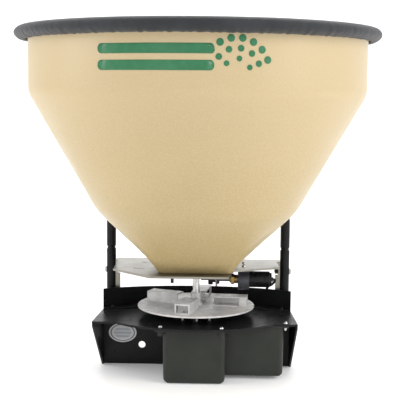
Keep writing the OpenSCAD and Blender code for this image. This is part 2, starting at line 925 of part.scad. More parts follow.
module gearbox_nuts() {
    color("#2a2a2c")
    for (p = gearbox_bolt_at) translate([p[0], p[1], deck_z]) hex_nut(stud_nut);
}

module shaft_bearings() {
    color("#b9bbbd")
    for (i = [0, 1]) translate([0, 0, bearing_z[i]])
        ring(bearing_r, shaft_d / 2 + run_gap, bearing_h[i]);
}

module worm_bush() {
    color("#b08d4a")
    along_x(-box_x + box_wall, gear_y, gear_z) ring(8, motor_shaft_d / 2 + run_gap, 6);
}

module motor_endcap() {
    color("#9a9c9e")
    along_x(endcap_x, gear_y, gear_z) difference() {
        cylinder(r = motor_r, h = motor_x[0] - endcap_x);
        translate([0, 0, -1]) cylinder(r = 8, h = 20);
    }
}

module motor_can() {
    length = motor_x[1] - motor_x[0];
    color("#3a3c3e")
    along_x(motor_x[0], gear_y, gear_z) difference() {
        cylinder(r = motor_r, h = length);
        translate([0, 0, -1]) cylinder(r = motor_r - 2.5, h = length - 5);
        cylinder(r = 8, h = length - 2);
    }
}

module motor_magnets() {
    color("#4b4b4d")
    along_x(motor_x[0] + 14, gear_y, gear_z) intersection() {
        ring(motor_r - 2.5, 20.6, 58);
        union() {
            translate([0, -10, -1]) cube([30, 20, 60]);
            translate([-30, -10, -1]) cube([30, 20, 60]);
        }
    }
}

module motor_bearings() {
    color("#b9bbbd") {
        along_x(endcap_x + 6, gear_y, gear_z) ring(8, motor_shaft_d / 2 + run_gap, 7);
        along_x(motor_x[1] - 8, gear_y, gear_z) ring(8, motor_shaft_d / 2 + run_gap, 6);
    }
}

module motor_shaft() {
    color(zinc)
    along_x(-box_x + box_wall + 1, gear_y, gear_z) cylinder(d = motor_shaft_d, h = 188);
}

module worm() {
    pitch = 5;
    color("#a9abad")
    along_x(-24, gear_y, gear_z) difference() {
        union() {
            cylinder(r = worm_r - 2, h = 48);
            for (i = [0 : 8]) translate([0, 0, 2 + i * pitch]) cylinder(r = worm_r, h = pitch / 2);
        }
        translate([0, 0, -1]) cylinder(d = motor_shaft_d, h = 50);
    }
}

module armature() {
    slots = 8;
    color("#a2653a")
    along_x(motor_x[0] + 16, gear_y, gear_z) difference() {
        cylinder(r = 20, h = 54);
        translate([0, 0, -1]) cylinder(d = motor_shaft_d, h = 56);
        for (i = [0 : slots - 1]) rotate(i * 360 / slots)
            translate([13, -1.5, -1]) cube([8, 3, 56]);
    }
}

// One bay of the motor cover: rounded corners, a flat bottom and a slight draft
module cover_bay(x0, x1, y0, y1, z0, z1, r) {
    draft = 1.5;
    hull()
        for (x = [x0, x1]) for (y = [y0, y1]) {
            in_x = x == x0 ? r : -r;
            in_y = y == y0 ? r : -r;
            side = x == x0 ? draft : -draft;
            translate([x + in_x, y + in_y, z1 - 0.2]) cylinder(r = r, h = 0.2, $fn = 24);
            translate([x + in_x + side, y + in_y, z0 + r]) sphere(r = r, $fn = 24);
        }
}

bay_x = [-57, 58, 164.5];
bay_y = [-101, -63];
bay_floor = [0, 5];
cover_back = 33;

module motor_cover() {
    skin = 2.5;
    flange_z = deck_under - 3;
    color(cover_grey)
    difference() {
        union() {
            cover_bay(bay_x[0], bay_x[1], bay_y[0], cover_back, bay_floor[0], deck_under, 10);
            cover_bay(0, bay_x[2], bay_y[1], cover_back, bay_floor[1], deck_under, 10);
            translate([-70, -112, flange_z]) cube([bay_x[1] + 70, 145, 3]);
            translate([0, -67, flange_z]) cube([173, 100, 3]);
            for (p = boss_screw_at) translate([p[0], p[1], flange_z - 9]) cylinder(r = 5, h = 10);
        }
        cover_bay(bay_x[0] + skin, bay_x[1] - skin, bay_y[0] + skin, cover_back - skin,
            bay_floor[0] + skin, deck_under + 1, 10 - skin);
        cover_bay(skin, bay_x[2] - skin, bay_y[1] + skin, cover_back - skin,
            bay_floor[1] + skin, deck_under + 1, 10 - skin);
        for (p = cover_screw_at) translate([p[0], p[1], flange_z - 6])
            cylinder(d = m5_dome[0], h = 10);
        for (p = [gland_at, [panel_hole_x, panel_hole_z]])
            translate([p[0], cover_back + 1, p[1]]) rotate([90, 0, 0]) cylinder(d = 26, h = skin + 2);
    }
}

module cover_screws() {
    color(zinc)
    for (p = cover_screw_at) translate([p[0], p[1], deck_z]) dome_screw(m5_dome, sheet_t + 9);
}

module cover_nuts() {
    color(zinc)
    for (p = nut_screw_at) translate([p[0], p[1], deck_under - 3 - 4]) hex_nut([5, 8, 4]);
}

module cable_gland() {
    color("#1a1a1a")
    translate([gland_at[0], panel_y - 4, gland_at[1]]) rotate([-90, 0, 0]) difference() {
        union() {
            cylinder(d = 22, h = 4, $fn = 6);
            cylinder(d = 16, h = 12);
            translate([0, 0, 8]) cylinder(d = 23, h = 9, $fn = 6);
            translate([0, 0, 17]) cylinder(d1 = 19, d2 = 13, h = 7);
        }
        translate([0, 0, -1]) cylinder(d = 7, h = 30);
    }
}

module oval_label() {
    label = [27, 19];
    color("#cfcfcc")
    translate([-143, panel_y, 61.5]) rotate([90, 0, 0]) linear_extrude(0.5)
        polygon([for (a = [0 : 6 : 354]) [label[0] * cos(a), label[1] * sin(a)]]);
}

base_deck();
mounting_panel();
gusset_left();
gusset_right();
deflector_wall();
wall_screws();
leg_left();
leg_right();
leg_foot_bolts();
cradle_hoop();
hopper_plate();
leg_washers();
leg_bolts();
leg_nuts();
hopper();
hopper_bolts();
hopper_nuts();
shaft_bush();
gate_guides();
actuator_can();
actuator_collar();
actuator_nose();
actuator_lead();
bracket_bolts();
lead_grommet();
gearbox_housing();
gearbox_lid();
gearbox_bolts();
gearbox_nuts();
shaft_bearings();
worm_bush();
motor_endcap();
motor_can();
motor_magnets();
motor_bearings();
motor_cover();
cover_screws();
cover_nuts();
cable_gland();
oval_label();
hopper_decal();
rain_cover();
hem_elastic();
drive_shaft();
spinner_disc();
spinner_hub();
spinner_vane_1();
spinner_vane_2();
spinner_vane_3();
spinner_vane_4();
vane_rivets();
hub_set_screw();
agitator();
worm_wheel();
motor_shaft();
worm();
armature();
gate_plate();
gate_rod();
rod_nuts();
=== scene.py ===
import bpy
import json
import math
from mathutils import Matrix, Vector, noise


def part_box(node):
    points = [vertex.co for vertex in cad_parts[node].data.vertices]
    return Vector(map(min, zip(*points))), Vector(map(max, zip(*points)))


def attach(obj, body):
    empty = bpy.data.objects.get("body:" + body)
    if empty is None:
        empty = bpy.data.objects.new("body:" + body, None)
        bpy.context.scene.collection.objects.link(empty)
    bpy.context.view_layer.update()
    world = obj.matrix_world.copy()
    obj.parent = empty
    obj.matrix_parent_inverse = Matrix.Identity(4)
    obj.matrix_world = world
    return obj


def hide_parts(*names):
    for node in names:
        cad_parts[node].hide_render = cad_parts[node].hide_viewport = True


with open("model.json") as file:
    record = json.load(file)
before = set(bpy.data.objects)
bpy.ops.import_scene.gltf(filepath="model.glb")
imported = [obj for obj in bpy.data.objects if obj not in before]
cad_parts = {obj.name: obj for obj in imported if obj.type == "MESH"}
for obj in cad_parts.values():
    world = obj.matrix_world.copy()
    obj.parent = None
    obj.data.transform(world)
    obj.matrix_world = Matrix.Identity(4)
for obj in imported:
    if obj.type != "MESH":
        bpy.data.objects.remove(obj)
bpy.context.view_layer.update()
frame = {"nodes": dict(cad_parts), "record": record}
NODES = frame["nodes"]
TAU = 2 * math.pi


# Camera: a 90 mm lens about 1.9 m away, a little right of the middle and level with the hopper's shoulder.
def make_camera():
    data = bpy.data.cameras.new("camera")
    data.sensor_width = 36.0
    data.lens = 90.0
    data.clip_end = 50.0
    cam = bpy.data.objects.new("camera", data)
    bpy.context.scene.collection.objects.link(cam)
    turn = Matrix.Rotation(math.radians(1.817), 4, "Z")
    tilt = Matrix.Rotation(math.radians(90 - 6.12), 4, "X")
    roll = Matrix.Rotation(math.radians(0.5), 4, "Z")
    cam.matrix_world = Matrix.Translation((0.0651, -1.8639, 0.5255)) @ turn @ tilt @ roll
    bpy.context.scene.camera = cam


make_camera()


# ---------------------------------------------------------------- materials


class Mat:
    """A material with the few node patterns that every surface here is made of."""

    def __init__(self, name, base, rough=0.5, metal=0.0, **sockets):
        self.m = bpy.data.materials.new(name)
        self.m.use_nodes = True
        self.t = self.m.node_tree
        self.bsdf = self.t.nodes["Principled BSDF"]
        self.bsdf.inputs["Base Color"].default_value = (*base, 1)
        self.bsdf.inputs["Roughness"].default_value = rough
        self.bsdf.inputs["Metallic"].default_value = metal
        for k, v in sockets.items():
            self.bsdf.inputs[k.replace("_", " ")].default_value = v
        self.base = base
        self.coords = self.node("ShaderNodeTexCoord")
        self.bump_from = None

    def node(self, kind, **values):
        n = self.t.nodes.new(kind)
        for k, v in values.items():
            setattr(n, k, v)
        return n

    def link(self, a, b):
        self.t.links.new(a, b)

    def space(self, stretch=(1, 1, 1), uv=False):
        mp = self.node("ShaderNodeMapping")
        mp.inputs["Scale"].default_value = stretch
        self.link(self.coords.outputs["UV" if uv else "Object"], mp.inputs["Vector"])
        return mp.outputs["Vector"]

    def noise(self, scale, detail=3.0, stretch=(1, 1, 1), uv=False, rough=0.55):
        n = self.node("ShaderNodeTexNoise")
        n.inputs["Scale"].default_value = scale
        n.inputs["Detail"].default_value = detail
        n.inputs["Roughness"].default_value = rough
        self.link(self.space(stretch, uv), n.inputs["Vector"])
        return n.outputs["Fac"]

    def math(self, op, a, b=None, c=None):
        n = self.node("ShaderNodeMath", operation=op)
        for i, v in enumerate((a, b, c)):
            if v is None:
                continue
            if hasattr(v, "links"):
                self.link(v, n.inputs[i])
            else:
                n.inputs[i].default_value = v
        return n.outputs[0]

    def span(self, fac, low, high, to_low, to_high):
        n = self.node("ShaderNodeMapRange")
        for k, v in zip(("From Min", "From Max", "To Min", "To Max"), (low, high, to_low, to_high)):
            n.inputs[k].default_value = v
        self.link(fac, n.inputs["Value"])
        return n.outputs["Result"]

    def mix(self, fac, a, b):
        n = self.node("ShaderNodeMix", data_type="RGBA")
        self.link(fac, n.inputs["Factor"])
        for i, v in ((6, a), (7, b)):
            if hasattr(v, "links"):
                self.link(v, n.inputs[i])
            else:
                n.inputs[i].default_value = (*v, 1)
        return n.outputs[2]

    def colour(self, out):
        self.link(out, self.bsdf.inputs["Base Color"])
        return self

    def mottle(self, scale, other, low=0.35, high=0.7, **kw):
        """The base colour drifts towards another one, in soft patches."""
        fac = self.span(self.noise(scale, **kw), low, high, 0, 1)
        src = self.bsdf.inputs["Base Color"].links
        return self.colour(self.mix(fac, src[0].from_socket if src else self.base, other))

    def gloss(self, scale, low, high, **kw):
        """Roughness that varies in patches."""
        fac = self.span(self.noise(scale, **kw), 0.3, 0.7, low, high)
        self.link(fac, self.bsdf.inputs["Roughness"])
        return self

    def bump(self, height, strength=0.3, depth=0.001):
        n = self.node("ShaderNodeBump")
        n.inputs["Strength"].default_value = strength
        n.inputs["Distance"].default_value = depth
        self.link(height, n.inputs["Height"])
        if self.bump_from:
            self.link(self.bump_from, n.inputs["Normal"])
        self.bump_from = n.outputs["Normal"]
        self.link(self.bump_from, self.bsdf.inputs["Normal"])
        return self

    def grain(self, scale, strength, depth=0.001, detail=2.0, **kw):
        return self.bump(self.noise(scale, detail, **kw), strength, depth)


def axis_value(m, index):
    sep = m.node("ShaderNodeSeparateXYZ")
    m.link(m.coords.outputs["Object"], sep.inputs[0])
    return sep.outputs[index]


def hopper_plastic():
    m = Mat("hopper_plastic", (0.55, 0.42, 0.23), 0.36, Specular_IOR_Level=0.3)
    m.bsdf.inputs["Subsurface Weight"].default_value = 0.12
    m.bsdf.inputs["Subsurface Radius"].default_value = (0.02, 0.012, 0.006)
    m.bsdf.inputs["Subsurface Scale"].default_value = 0.6
    # Painted shade: the hopper's colour turns darker and more saturated from z 0.6 m down to z 0.2 m,
    # standing in for the less-lit lower cone
    low = m.span(axis_value(m, 2), 0.2, 0.6, 1, 0)
    m.colour(m.mix(low, (0.555, 0.440, 0.262), (0.405, 0.308, 0.136)))
    m.mottle(5.0, (0.525, 0.402, 0.218), 0.5, 0.95)
    m.mottle(420, (0.60, 0.478, 0.292), 0.38, 0.95, detail=5.0)
    m.gloss(14, 0.29, 0.42)
    m.grain(6.0, 0.25, 0.004, detail=1.0)
    m.grain(900.0, 0.12, 0.0004)
    return m.m


def powder_coat():
    m = Mat("black_powder_coat", (0.0085, 0.0092, 0.0098), 0.32, Specular_IOR_Level=0.16)
    m.mottle(30, (0.0125, 0.0130, 0.0138), 0.4, 0.8)
    m.gloss(45, 0.26, 0.4)
    m.grain(420, 0.12, 0.0006)
    return m.m


def brushed(name, base, rough, along, dirt):
    m = Mat(name, base, rough, 1.0)
    stretch = [1.0, 1.0, 1.0]
    stretch[along] = 0.02
    lines = m.noise(1600, 2.0, stretch=tuple(stretch))
    m.colour(m.mix(m.span(m.noise(26), 0.35, 0.75, 0, 1), base, dirt))
    m.link(m.span(lines, 0.3, 0.7, rough - 0.08, rough + 0.12), m.bsdf.inputs["Roughness"])
    m.bump(lines, 0.10, 0.0004)
    return m.m


def dull_metal(name, base, other, rough=0.38, metal=1.0):
    m = Mat(name, base, rough, metal)
    m.mottle(60, other, 0.35, 0.7, detail=4.0)
    m.gloss(120, rough - 0.1, rough + 0.14)
    m.grain(700, 0.12, 0.0004)
    return m.m


def plain(name, base, other, rough, scale=40, metal=0.0, grain=(600, 0.15, 0.0005), spec=0.5):
    m = Mat(name, base, rough, metal, Specular_IOR_Level=spec)
    m.mottle(scale, other)
    m.gloss(scale * 2, max(0.05, rough - 0.08), rough + 0.08)
    m.grain(*grain)
    return m.m


def cover_cloth():
    m = Mat("cover_cloth", (0.022, 0.025, 0.029), 0.55, Sheen_Weight=0.2, Sheen_Roughness=0.45,
            Specular_IOR_Level=0.25)
    uv = m.node("ShaderNodeSeparateXYZ")
    m.link(m.space((1, 1, 1), uv=True), uv.inputs[0])
    yarn = TAU / 0.0014
    warp = m.math("SINE", m.math("MULTIPLY", uv.outputs[0], yarn))
    weft = m.math("SINE", m.math("MULTIPLY", uv.outputs[1], yarn))
    over = m.math("MULTIPLY", warp, weft)
    m.colour(m.mix(m.span(over, -1, 1, 0, 1), (0.016, 0.018, 0.021), (0.030, 0.033, 0.037)))
    m.mottle(18, (0.038, 0.041, 0.046), 0.5, 0.85)
    m.bump(over, 0.35, 0.0004)
    m.grain(240, 0.25, 0.0008)
    return m.m


def ribbed_elastic():
    m = Mat("elastic", (0.020, 0.021, 0.023), 0.8, Sheen_Weight=0.2)
    m.grain(500, 0.5, 0.0008, stretch=(1, 1, 0.2))
    m.mottle(60, (0.04, 0.042, 0.045))
    return m.m


def label_face():
    """Silvery oval with a dark rim and a plain inner field."""
    low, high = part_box("oval_label")
    mid, half = (low + high) / 2, (high - low) / 2
    m = Mat("oval_label", (0.66, 0.67, 0.67), 0.35)
    sep = m.node("ShaderNodeSeparateXYZ")
    m.link(m.coords.outputs["Object"], sep.inputs[0])
    a = m.math("DIVIDE", m.math("SUBTRACT", sep.outputs[0], mid.x), half.x)
    b = m.math("DIVIDE", m.math("SUBTRACT", sep.outputs[2], mid.z), half.z)
    r = m.math("SQRT", m.math("ADD", m.math("MULTIPLY", a, a), m.math("MULTIPLY", b, b)))
    ring = m.math("MULTIPLY", m.math("GREATER_THAN", r, 0.80), m.math("LESS_THAN", r, 0.88))
    field = m.math("LESS_THAN", r, 0.62)
    bars = m.math("GREATER_THAN", m.math("SINE", m.math("MULTIPLY", sep.outputs[2], 900)), 0.1)
    inner = m.mix(field, (0.66, 0.67, 0.67), m.mix(bars, (0.40, 0.43, 0.48), (0.58, 0.60, 0.62)))
    m.colour(m.mix(ring, inner, (0.10, 0.12, 0.16)))
    m.gloss(200, 0.3, 0.42)
    m.grain(300, 0.1, 0.0004)
    return m.m


def decal_ink():
    m = Mat("decal_ink", (0.022, 0.155, 0.062), 0.34)
    m.mottle(70, (0.03, 0.19, 0.08), 0.4, 0.8)
    m.gloss(60, 0.28, 0.42)
    m.grain(600, 0.1, 0.0003)
    return m.m


M = {
    "black_coat": powder_coat(),
    "stainless": brushed("stainless", (0.31, 0.295, 0.26), 0.30, 0, (0.22, 0.208, 0.18)),
    "zinc": dull_metal("zinc", (0.66, 0.66, 0.645), (0.48, 0.48, 0.46), 0.28),
    "hopper_plastic": hopper_plastic(),
    "black_steel": dull_metal("black_steel", (0.016, 0.016, 0.017), (0.028, 0.027, 0.026), 0.4, 0.6),
    "bush_plastic": plain("bush_plastic", (0.62, 0.60, 0.53), (0.5, 0.48, 0.42), 0.45),
    "can_black": plain("can_black", (0.008, 0.0085, 0.0095), (0.013, 0.0135, 0.0145), 0.3, spec=0.25),
    "collar_grey": dull_metal("collar_grey", (0.095, 0.10, 0.115), (0.06, 0.063, 0.07), 0.42, 0.5),
    "brass": dull_metal("brass", (0.34, 0.235, 0.085), (0.20, 0.135, 0.05), 0.34),
    "black_rubber": plain("black_rubber", (0.009, 0.009, 0.0095), (0.015, 0.015, 0.015), 0.6, spec=0.3),
    "housing_alloy": dull_metal("housing_alloy", (0.42, 0.43, 0.44), (0.30, 0.305, 0.31), 0.48),
    "magnet": plain("magnet", (0.10, 0.10, 0.10), (0.07, 0.07, 0.07), 0.6),
    "cover_plastic": plain("cover_plastic", (0.020, 0.0235, 0.019), (0.028, 0.031, 0.026), 0.42,
                           24, grain=(380, 0.22, 0.0006), spec=0.25),
    "label_silver": label_face(),
    "decal_green": decal_ink(),
    "cover_fabric": cover_cloth(),
    "elastic": ribbed_elastic(),
    "spinner_steel": dull_metal("spinner_steel", (0.66, 0.65, 0.64), (0.50, 0.495, 0.49), 0.45, 0.35),
    "copper": dull_metal("copper", (0.50, 0.20, 0.09), (0.3, 0.11, 0.05), 0.35),
}

SLOT_OF = {s["node"]: s["material_slot"] for s in frame["record"]["subparts"]}


# ---------------------------------------------------------------- CAD nodes that stay


def soften(node, width):
    """Small rounded edges on a CAD node, by modifiers only."""
    o = NODES[node]
    weld = o.modifiers.new("weld", "WELD")
    weld.merge_threshold = 0.00001
    flat = o.modifiers.new("flat", "DECIMATE")
    flat.decimate_type = "DISSOLVE"
    flat.angle_limit = math.radians(1.0)
    bev = o.modifiers.new("bevel", "BEVEL")
    bev.width = width
    bev.segments = 2
    bev.limit_method = "ANGLE"
    bev.angle_limit = math.radians(35)
    bev.use_clamp_overlap = True
    bev.harden_normals = False
    wn = o.modifiers.new("normals", "WEIGHTED_NORMAL")
    wn.keep_sharp = False


for name, o in NODES.items():
    mat = M["elastic"] if name == "hem_elastic" else M[SLOT_OF[name]]
    if not o.data.materials:
        o.data.materials.append(mat)
    for s in o.material_slots:
        s.material = mat

EDGES = {
    "base_deck": 0.0009, "mounting_panel": 0.0009, "gusset_left": 0.0009, "gusset_right": 0.0009,
    "deflector_wall": 0.0007, "leg_left": 0.0006, "leg_right": 0.0006, "hopper_plate": 0.0006,
    "gate_guides": 0.0005, "gate_plate": 0.0004, "spinner_disc": 0.0008, "spinner_hub": 0.0009,
    "spinner_vane_1": 0.0007, "spinner_vane_2": 0.0007, "spinner_vane_3": 0.0007,
    "spinner_vane_4": 0.0007, "actuator_collar": 0.0008, "actuator_can": 0.0008,
    "actuator_nose": 0.0005, "rod_nuts": 0.0006, "leg_bolts": 0.0006,
    "leg_nuts": 0.0006, "gearbox_nuts": 0.0004, "leg_foot_bolts": 0.0005, "hopper_nuts": 0.0004,
    "gearbox_housing": 0.002, "gearbox_lid": 0.001, "motor_can": 0.001, "motor_endcap": 0.001,
    "cable_gland": 0.0006,
    "lead_grommet": 0.0006, "agitator": 0.0008, "worm_wheel": 0.0004, "shaft_bush": 0.0006,
}
for name, width in EDGES.items():
    soften(name, width)


# ---------------------------------------------------------------- mesh helpers


def add_object(name, verts, faces, mats, body, smooth=True, picks=None, uvs=None):
    me = bpy.data.meshes.new(name)
    me.from_pydata([tuple(v) for v in verts], [], faces)
    for m in mats:
        me.materials.append(m)
    if picks:
        me.polygons.foreach_set("material_index", picks)
    me.polygons.foreach_set("use_smooth", [smooth] * len(me.polygons))
    if uvs:
        layer = me.uv_layers.new(name="cut")
        for loop in me.loops:
            layer.data[loop.index].uv = uvs[loop.vertex_index]
    me.update()
    o = bpy.data.objects.new(name, me)
    bpy.context.scene.collection.objects.link(o)
    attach(o, body)
    return o


def grid_faces(rows, cols, wrap=True):
    faces = []
    for r in range(rows - 1):
        for c in range(cols if wrap else cols - 1):
            d = (c + 1) % cols
            faces.append((r * cols + c, r * cols + d, (r + 1) * cols + d, (r + 1) * cols + c))
    return faces


def polar(r, a, z):
    return (r * math.cos(a), r * math.sin(a), z)


def ease(t):
    t = min(1.0, max(0.0, t))
    return t * t * (3 - 2 * t)


# ---------------------------------------------------------------- hopper

BAND_R = 0.310
LOFT_TOP = 0.292
FOOT_HALF, FOOT_CORNER = 0.067, 0.014
THROAT_HALF, THROAT_CORNER = 0.062, 0.010
OUTLET_HALF = 0.048


def rounded_square(a, half, corner):
    """Distance from the middle to a rounded square's edge, at angle a."""
    c, s = abs(math.cos(a)), abs(math.sin(a))
    flat = half / max(c, s)
    k = half - corner
    x, y = c * flat, s * flat
    if x <= k or y <= k:
        return flat
    b = k * (c + s)
    return b + math.sqrt(max(0.0, b * b - 2 * k * k + corner * corner))


def fillet(a, b, c, r, n=10):
    """Points of an arc that rounds corner b of a profile."""
    a, b, c = Vector(a), Vector(b), Vector(c)
    u, v = (a - b).normalized(), (c - b).normalized()
    half = u.angle(v) / 2
    centre = b + (u + v).normalized() * r / math.sin(half)
    p = b + u * r / math.tan(half) - centre
    q = b + v * r / math.tan(half) - centre
    ang = p.angle(q)
    k = math.sin(ang) or 1.0
    out = []
    for i in range(n + 1):
        t = i / n
        w = (p * math.sin((1 - t) * ang) + q * math.sin(t * ang)) / k
        out.append(tuple(centre + w))
    return out


def hopper_profile(inset):
    """Round part of the wall from the loft to the rim, moved inwards."""
    low, knuckle = (0.1704, LOFT_TOP), (0.187, 0.309)
    shoulder, top = (BAND_R, 0.524), (BAND_R, 0.628)
    k = math.sqrt(1 + 0.976 ** 2) * inset
    p0 = (low[0] - k, low[1])
    p1 = (knuckle[0] - inset * 1.17, knuckle[1] + inset * 0.18)
    p2 = (shoulder[0] - inset, shoulder[1] + inset * 0.264)
    p3 = (top[0] - inset, top[1])
    pts = [p0] + fillet(p0, p1, p2, 0.09, 12)
    arc = fillet(p1, p2, p3, 0.042, 14)
    a, b = Vector(pts[-1]), Vector(arc[0])
    pts += [tuple(a.lerp(b, i / 12)) for i in range(1, 12)]
    pts += arc
    a, b = Vector(arc[-1]), Vector(p3)
    pts += [tuple(a.lerp(b, i / 5)) for i in range(1, 6)]
    return pts


def make_hopper():
    cols = 240
    foot_z, floor_z = 0.197, 0.202
    rows = []

    def loft(z, half, corner, top_r, z0, z1):
        t = (z - z0) / (z1 - z0)
        return [
            rounded_square(TAU * i / cols, half, corner) * (1 - t) + top_r * t for i in range(cols)
        ]

    def ring(z, radii):
        rows.append([polar(r, TAU * i / cols, z) for i, r in enumerate(radii)])

    outer = hopper_profile(0.0)
    inner = hopper_profile(0.005)
    hole = [
        OUTLET_HALF / max(abs(math.cos(TAU * i / cols)), abs(math.sin(TAU * i / cols)))
        for i in range(cols)
    ]
    ring(floor_z, hole)
    ring(foot_z + 0.0002, hole)
    ring(foot_z, [r + 0.0004 for r in hole])
    edge = loft(foot_z, FOOT_HALF, FOOT_CORNER, outer[0][0], foot_z, LOFT_TOP)
    ring(foot_z, [r - 0.0012 for r in edge])
    ring(foot_z + 0.0003, [r - 0.0003 for r in edge])
    for k in range(26):
        z = foot_z + 0.0012 + (LOFT_TOP - foot_z - 0.0012) * k / 26
        ring(z, loft(z, FOOT_HALF, FOOT_CORNER, outer[0][0], foot_z, LOFT_TOP))
    for r, z in outer:
        ring(z, [r] * cols)
    lip = [(0.3115, 0.6285), (0.316, 0.6258), (0.321, 0.6245), (0.3245, 0.6262), (0.326, 0.630),
           (0.3248, 0.6338), (0.321, 0.636), (0.313, 0.636), (0.3072, 0.6358), (0.305, 0.634)]
    for r, z in lip:
        ring(z, [r] * cols)
    for r, z in reversed(inner):
        ring(z, [r] * cols)
    for k in range(1, 24):
        z = LOFT_TOP - (LOFT_TOP - floor_z - 0.004) * k / 23
        ring(z, loft(z, THROAT_HALF, THROAT_CORNER, inner[0][0], floor_z, LOFT_TOP))
    throat = loft(floor_z, THROAT_HALF, THROAT_CORNER, inner[0][0], floor_z, LOFT_TOP)
    ring(floor_z + 0.0012, [r - 0.0012 for r in throat])
    ring(floor_z, [r - 0.004 for r in throat])
    verts = [v for row in rows for v in row]
    faces = grid_faces(len(rows), cols)
    last = (len(rows) - 1) * cols
    faces += [(last + i, last + (i + 1) % cols, (i + 1) % cols, i) for i in range(cols)]
    o = add_object("hopper_shell", verts, faces, [M["hopper_plastic"]], "frame")
    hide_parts("hopper")


make_hopper()


# ---------------------------------------------------------------- rain cover

ROOF_Z = 0.6422
ROOF_R = 0.315


def wave(a, seed, parts):
    """A smooth repeating ripple round the rim."""
    total = 0.0
    for i, (count, size) in enumerate(parts):
        phase = noise.noise(Vector((seed + i * 3.7, 1.3, 0.5))) * TAU
        total += size * math.sin(count * a + phase)
    return total


def make_cover():
    """A disc of cloth pulled down over the lip by an elastic hem, gathered along its edge."""
    cols = 540
    radii = [ROOF_R * k / 40 for k in range(40)]
    # Radius, height and share of gathering, from the roof's edge round the lip to the hem
    profile = [
        (0.3130, 0.6424, 0.0), (0.3190, 0.6424, 0.0), (0.3240, 0.6416, 0.03), (0.3280, 0.6400, 0.06),
        (0.3312, 0.6375, 0.1), (0.3334, 0.6346, 0.15), (0.3344, 0.6315, 0.2), (0.3342, 0.6284, 0.3),
        (0.3330, 0.6256, 0.4), (0.3308, 0.6230, 0.55), (0.3278, 0.6208, 0.7), (0.3242, 0.6192, 0.85),
        (0.3205, 0.6182, 1.0), (0.3172, 0.6178, 1.0), (0.3150, 0.6186, 0.9), (0.3142, 0.6202, 0.7),
    ]
    verts, uvs = [], []
    for r in radii:
        for i in range(cols):
            a = TAU * i / cols
            near = ease((r - 0.19) / 0.12)
            sag = 0.0035 * (1 - ease(r / ROOF_R)) + 0.0006 * math.sin(3 * a + 1) * ease(r / 0.2)
            pleat = near * (0.0006 * wave(a, 4.0, [(43, 0.6), (71, 0.5), (29, 0.4)]) - 0.0002)
            tug = 0.0007 * noise.noise(Vector((r * 14 * math.cos(a), r * 14 * math.sin(a), 2.0)))
            verts.append(polar(r, a, ROOF_Z - sag + pleat + tug))
            uvs.append((r * math.cos(a), r * math.sin(a)))
    rho = radii[-1]
    before = (radii[-1], ROOF_Z)
    for r, z, gather in profile:
        rho += math.hypot(r - before[0], z - before[1])
        before = (r, z)
        for i in range(cols):
            a = TAU * i / cols
            ripple = wave(a, 9.0, [(97, 0.5), (131, 0.35), (61, 0.35), (173, 0.25)])
            lazy = wave(a, 2.0, [(5, 0.5), (9, 0.4), (14, 0.3)])
            dr = 0.0010 * gather * ripple + 0.0006 * lazy
            dz = gather * (0.0008 * wave(a, 6.0, [(83, 0.35), (127, 0.5), (179, 0.45)]) + 0.0003 * lazy)
            verts.append(polar(r + dr, a, z + dz))
            uvs.append((rho * math.cos(a), rho * math.sin(a)))
    # The first ring has no radius, so one vertex in the middle takes its place
    faces = grid_faces(len(radii) + len(profile), cols)[cols:]
    verts = verts[cols:]
    uvs = uvs[cols:]
    faces = [tuple(v - cols for v in f) for f in faces]
    centre = len(verts)
    verts.append((0, 0, sum(v[2] for v in verts[:cols]) / cols))
    uvs.append((0, 0))
    faces += [(i, (i + 1) % cols, centre) for i in range(cols)]
    faces = [tuple(reversed(f)) for f in faces]
    o = add_object("rain_cover_cloth", verts, faces, [M["cover_fabric"]], "cover", uvs=uvs)
    thick = o.modifiers.new("cloth", "SOLIDIFY")
    thick.thickness = 0.0007
    thick.offset = -1
    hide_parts("rain_cover")
    hem = make_hem()


def make_hem():
    """The elastic in the cover's hem: a puckered band behind the gathered edge."""
    cols, ring = 540, 10
    band_r, band_z = 0.3168, 0.6212
    verts = []
    for i in range(cols):
        a = TAU * i / cols
        size = 0.0019 * (1 + 0.25 * wave(a, 7.0, [(149, 0.6), (211, 0.5)]))
        lift = 0.0005 * wave(a, 6.0, [(83, 0.35), (127, 0.5)])
        for k in range(ring):
            b = TAU * k / ring
            verts.append(polar(band_r + size * math.cos(b), a, band_z + lift + 1.2 * size * math.sin(b)))
    faces = []
    for i in range(cols):
        j = (i + 1) % cols
        for k in range(ring):
            m = (k + 1) % ring
            faces.append((i * ring + k, i * ring + m, j * ring + m, j * ring + k))
    o = add_object("hem_elastic_band", verts, faces, [M["elastic"]], "cover")
    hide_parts("hem_elastic")
    return o


make_cover()


# ---------------------------------------------------------------- round tubes

TUBE_R = 0.00925
LEG_X, LEG_Y = 0.171, 0.086
LEG_TOP, NECK = 0.217, 0.008


def tube_curve(name, points, radius, mat, body):
    """A smooth round tube through a row of points."""
    data = bpy.data.curves.new(name, "CURVE")
    data.dimensions = "3D"
    data.bevel_depth = radius
    data.bevel_resolution = 8
    data.use_fill_caps = True
    line = data.splines.new("POLY")
    line.points.add(len(points) - 1)
    for p, q in zip(line.points, points):
        p.co = (*q, 1)
    line.use_smooth = True
    data.materials.append(mat)
    o = bpy.data.objects.new(name, data)
    bpy.context.scene.collection.objects.link(o)
    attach(o, body)
    return o


def through(route, steps):
    """Points of the smooth curve through a route."""
    out = []
    for i in range(len(route) - 1):
        a, b = Vector(route[max(i - 1, 0)]), Vector(route[i])
        c, d = Vector(route[i + 1]), Vector(route[min(i + 2, len(route) - 1)])
        for j in range(steps):
            t = j / steps
            out.append(0.5 * (2 * b + (c - a) * t + (2 * a - 5 * b + 4 * c - d) * t * t
                              + (3 * b - a - 3 * c + d) * t ** 3))
    out.append(Vector(route[-1]))
    return [tuple(p) for p in out]


